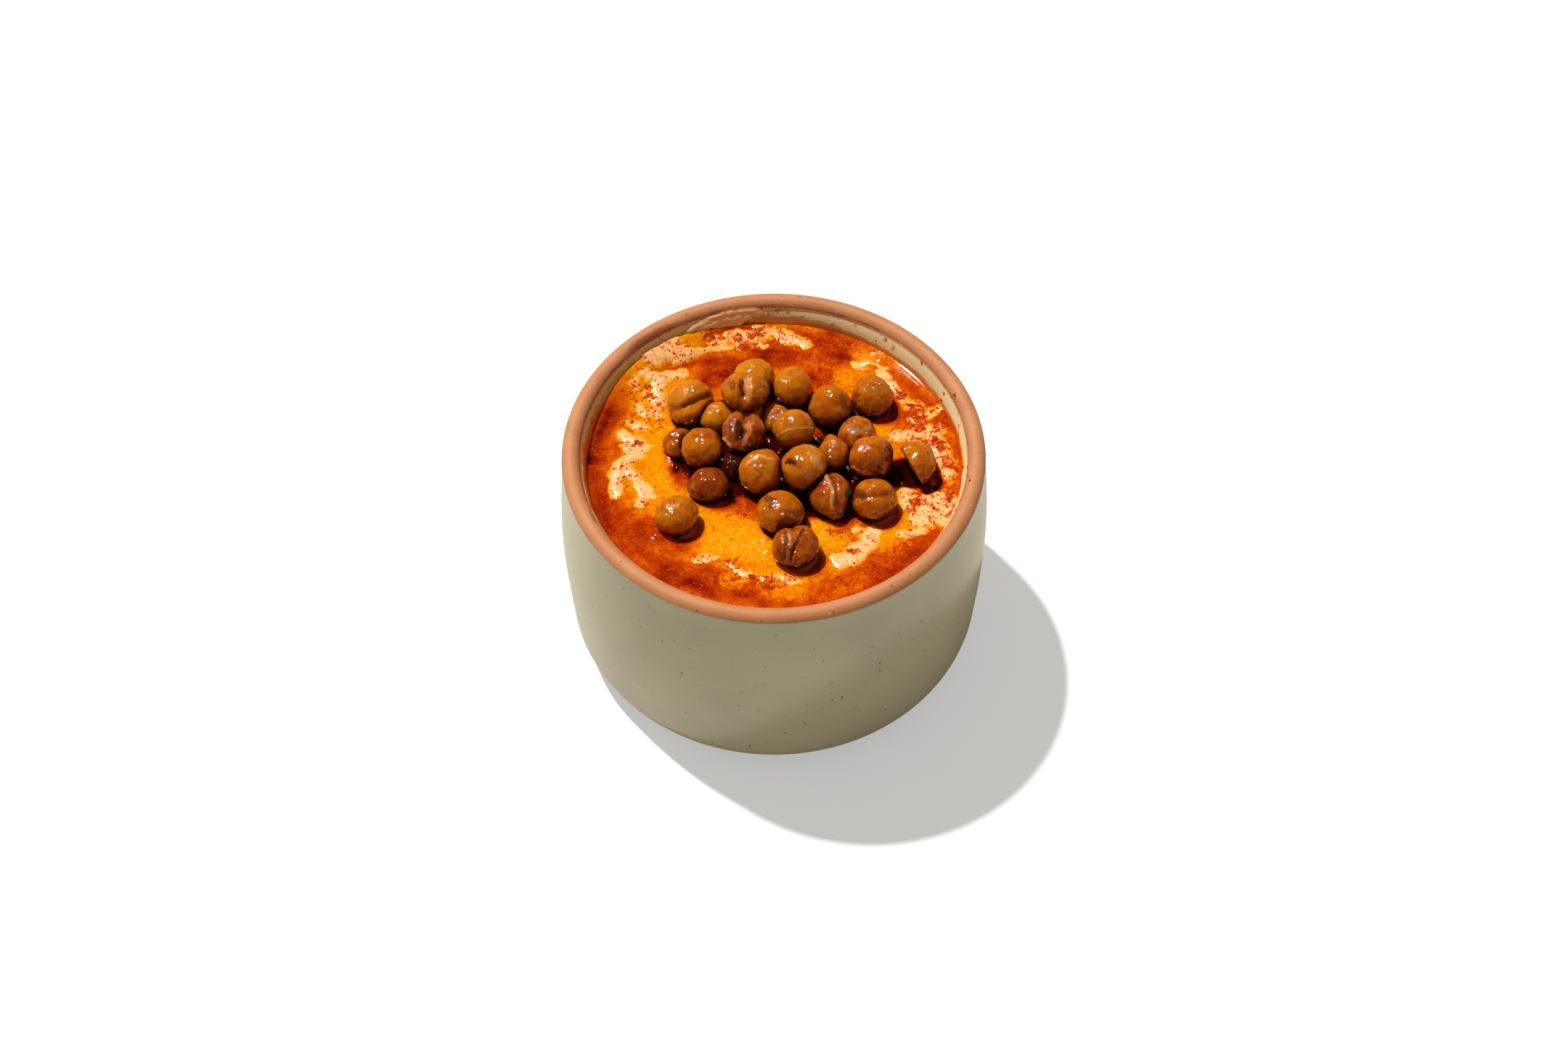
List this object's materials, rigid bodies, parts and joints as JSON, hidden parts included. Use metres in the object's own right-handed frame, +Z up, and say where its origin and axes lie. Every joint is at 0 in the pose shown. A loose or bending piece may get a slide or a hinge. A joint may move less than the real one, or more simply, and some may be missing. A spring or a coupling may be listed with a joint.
{
  "type": "bowl of hummus",
  "caption": "Small round clay bowl filled with smooth chickpea dip under spiced oil, with whole cooked chickpeas heaped in the middle.",
  "frame": {"origin": "middle of the bowl's flat foot, on the surface it stands on", "axes": "+Z up out of the bowl's mouth; the front of the bowl faces -Y and +X is to its right"},
  "size_m": [0.1132, 0.1134, 0.0758],
  "materials": {
    "glazed_clay": "satin",
    "bare_clay": "matte",
    "hummus": "satin",
    "spiced_oil": "gloss",
    "chickpea": "gloss",
    "paprika": "matte",
    "herb": "satin"
  },
  "bodies": {
    "root": {"bowl": "glazed_clay", "hummus": "hummus", "chickpea_01": "chickpea", "chickpea_02": "chickpea", "chickpea_03": "chickpea", "chickpea_04": "chickpea", "chickpea_05": "chickpea", "chickpea_06": "chickpea", "chickpea_07": "chickpea", "chickpea_08": "chickpea", "chickpea_09": "chickpea", "chickpea_10": "chickpea", "chickpea_11": "chickpea", "chickpea_12": "chickpea", "chickpea_13": "chickpea", "chickpea_14": "chickpea", "chickpea_15": "chickpea", "chickpea_16": "chickpea", "chickpea_17": "chickpea", "chickpea_18": "chickpea", "chickpea_19": "chickpea", "chickpea_20": "chickpea", "chickpea_21": "chickpea", "chickpea_22": "chickpea", "chickpea_23": "chickpea", "chickpea_24": "chickpea", "chickpea_25": "chickpea", "chickpea_26": "chickpea"}
  },
  "joints": []
}
